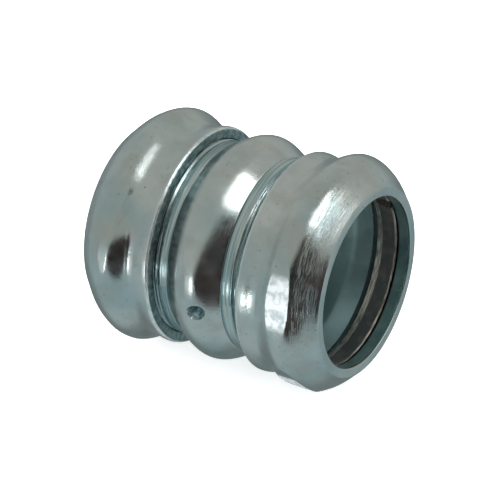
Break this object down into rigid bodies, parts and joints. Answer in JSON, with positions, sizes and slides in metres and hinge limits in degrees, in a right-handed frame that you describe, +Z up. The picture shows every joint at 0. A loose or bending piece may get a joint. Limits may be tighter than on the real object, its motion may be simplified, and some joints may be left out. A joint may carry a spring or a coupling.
{
  "type": "conduit compression coupling",
  "caption": "Round steel coupling that joins two plain conduits end to end: a beaded threaded sleeve with a screwed gland nut and a split compression ring at each end.",
  "frame": {"origin": "on the fitting's axis at the middle of the sleeve's bead; the nuts stand about 0.6 mm further out at +X than at -X, so the mass centre is within half a millimetre of it", "axes": "+X runs along the fitting's axis, out of the right-hand mouth; +Z is up with the fitting lying on its nuts; +Y is horizontal, away from the side with the visible staked stop"},
  "size_m": [0.0605, 0.0542, 0.0542],
  "materials": {
    "zinc_plated_steel": "bright zinc plating with a faint blue-green tint",
    "ring_steel": "dark uncoated spring steel with a brownish cut edge"
  },
  "bodies": {
    "sleeve": {"sleeve_body": "zinc_plated_steel"},
    "right_ring": {"right_compression_ring": "ring_steel"},
    "right_nut": {"right_gland_nut": "zinc_plated_steel"},
    "left_ring": {"left_compression_ring": "ring_steel"},
    "left_nut": {"left_gland_nut": "zinc_plated_steel"}
  },
  "joints": [
    {"name": "right_ring_slide", "type": "slide", "parent": "sleeve", "child": "right_ring", "axis": [1, 0, 0], "range_m": [-0.00186, 0.00898]},
    {"name": "right_nut_turn", "type": "hinge", "parent": "right_ring", "child": "right_nut", "pos_m": [0.0213, 0, 0], "axis": [1, 0, 0], "range_deg": [-524, 2540]},
    {"name": "left_ring_slide", "type": "slide", "parent": "sleeve", "child": "left_ring", "axis": [-1, 0, 0], "range_m": [-0.00063, 0.01021]},
    {"name": "left_nut_turn", "type": "hinge", "parent": "left_ring", "child": "left_nut", "pos_m": [-0.0201, 0, 0], "axis": [-1, 0, 0], "range_deg": [-176, 2890]}
  ],
  "couplings": [
    {"joint": "right_ring_slide", "follows": "right_nut_turn", "m_per_rad": 0.00020213},
    {"joint": "left_ring_slide", "follows": "left_nut_turn", "m_per_rad": 0.00020213}
  ]
}
